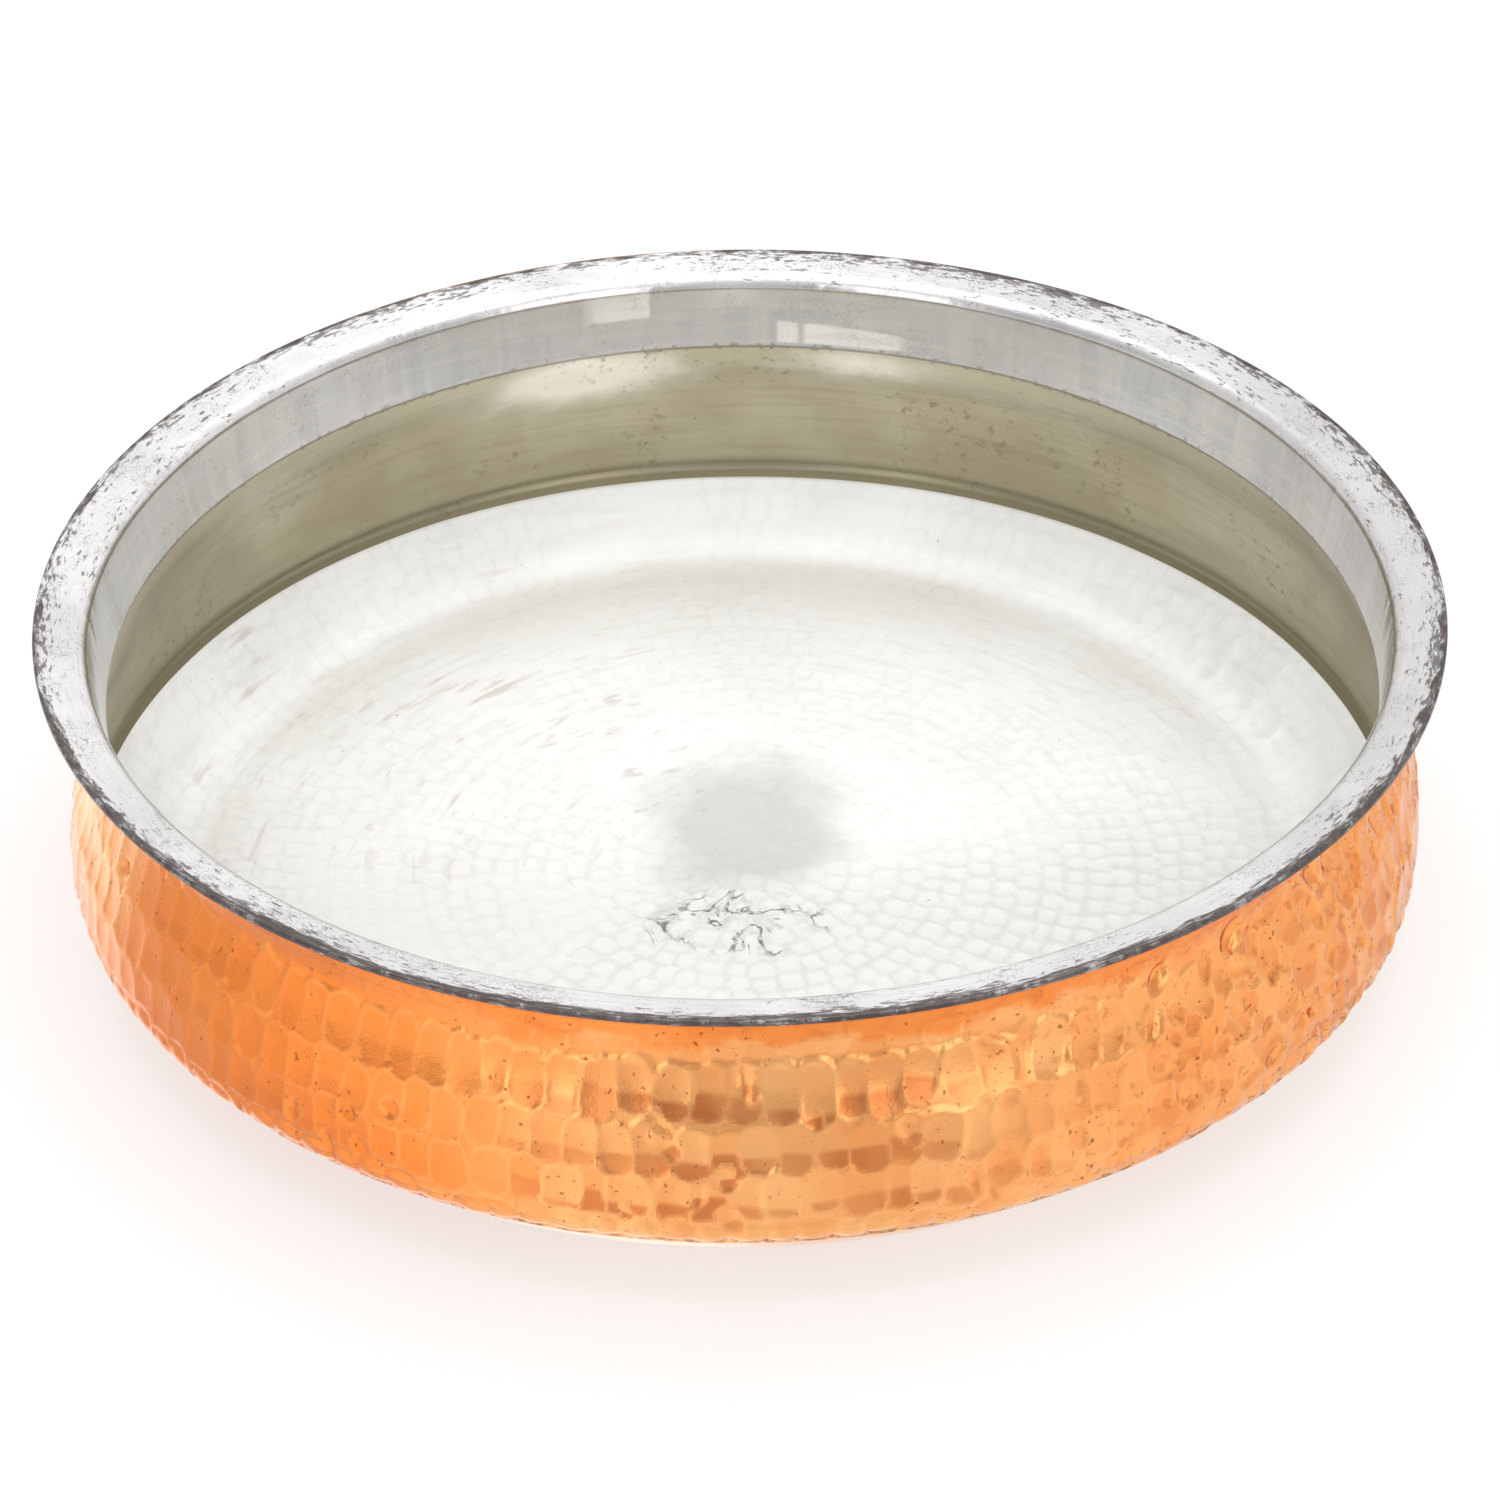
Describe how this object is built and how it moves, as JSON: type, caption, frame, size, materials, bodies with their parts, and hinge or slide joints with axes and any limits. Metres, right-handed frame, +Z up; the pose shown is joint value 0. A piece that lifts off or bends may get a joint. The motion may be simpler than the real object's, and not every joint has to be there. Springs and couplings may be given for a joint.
{
  "type": "hammered copper serving pan",
  "caption": "Wide shallow hammered copper vessel with a bulging belly, short waisted neck and flared lip, tinned inside, for cooking and serving.",
  "frame": {"origin": "centre of the flat underside", "axes": "+Z up along the vessel's axis; the vessel is round, so X and Y are alike"},
  "size_m": [0.33, 0.33, 0.0825],
  "materials": {
    "hammered_copper": "hand-hammered facets, polished",
    "smooth_copper": "smooth, polished, slightly darker under the lip",
    "brass_filler": "filed flush",
    "planished_tin": "silvery satin with planishing marks",
    "satin_tin": "wiped satin with faint streaks",
    "scratched_tin": "bright wiped tin with dark scratches on the lip"
  },
  "bodies": {
    "root": {"base_pan": "hammered_copper", "belly_wall": "hammered_copper", "neck_collar": "smooth_copper", "lower_seam_braze": "brass_filler", "upper_seam_braze": "brass_filler", "floor_tinning": "planished_tin", "wall_tinning": "satin_tin", "lip_tinning": "scratched_tin"}
  },
  "joints": []
}
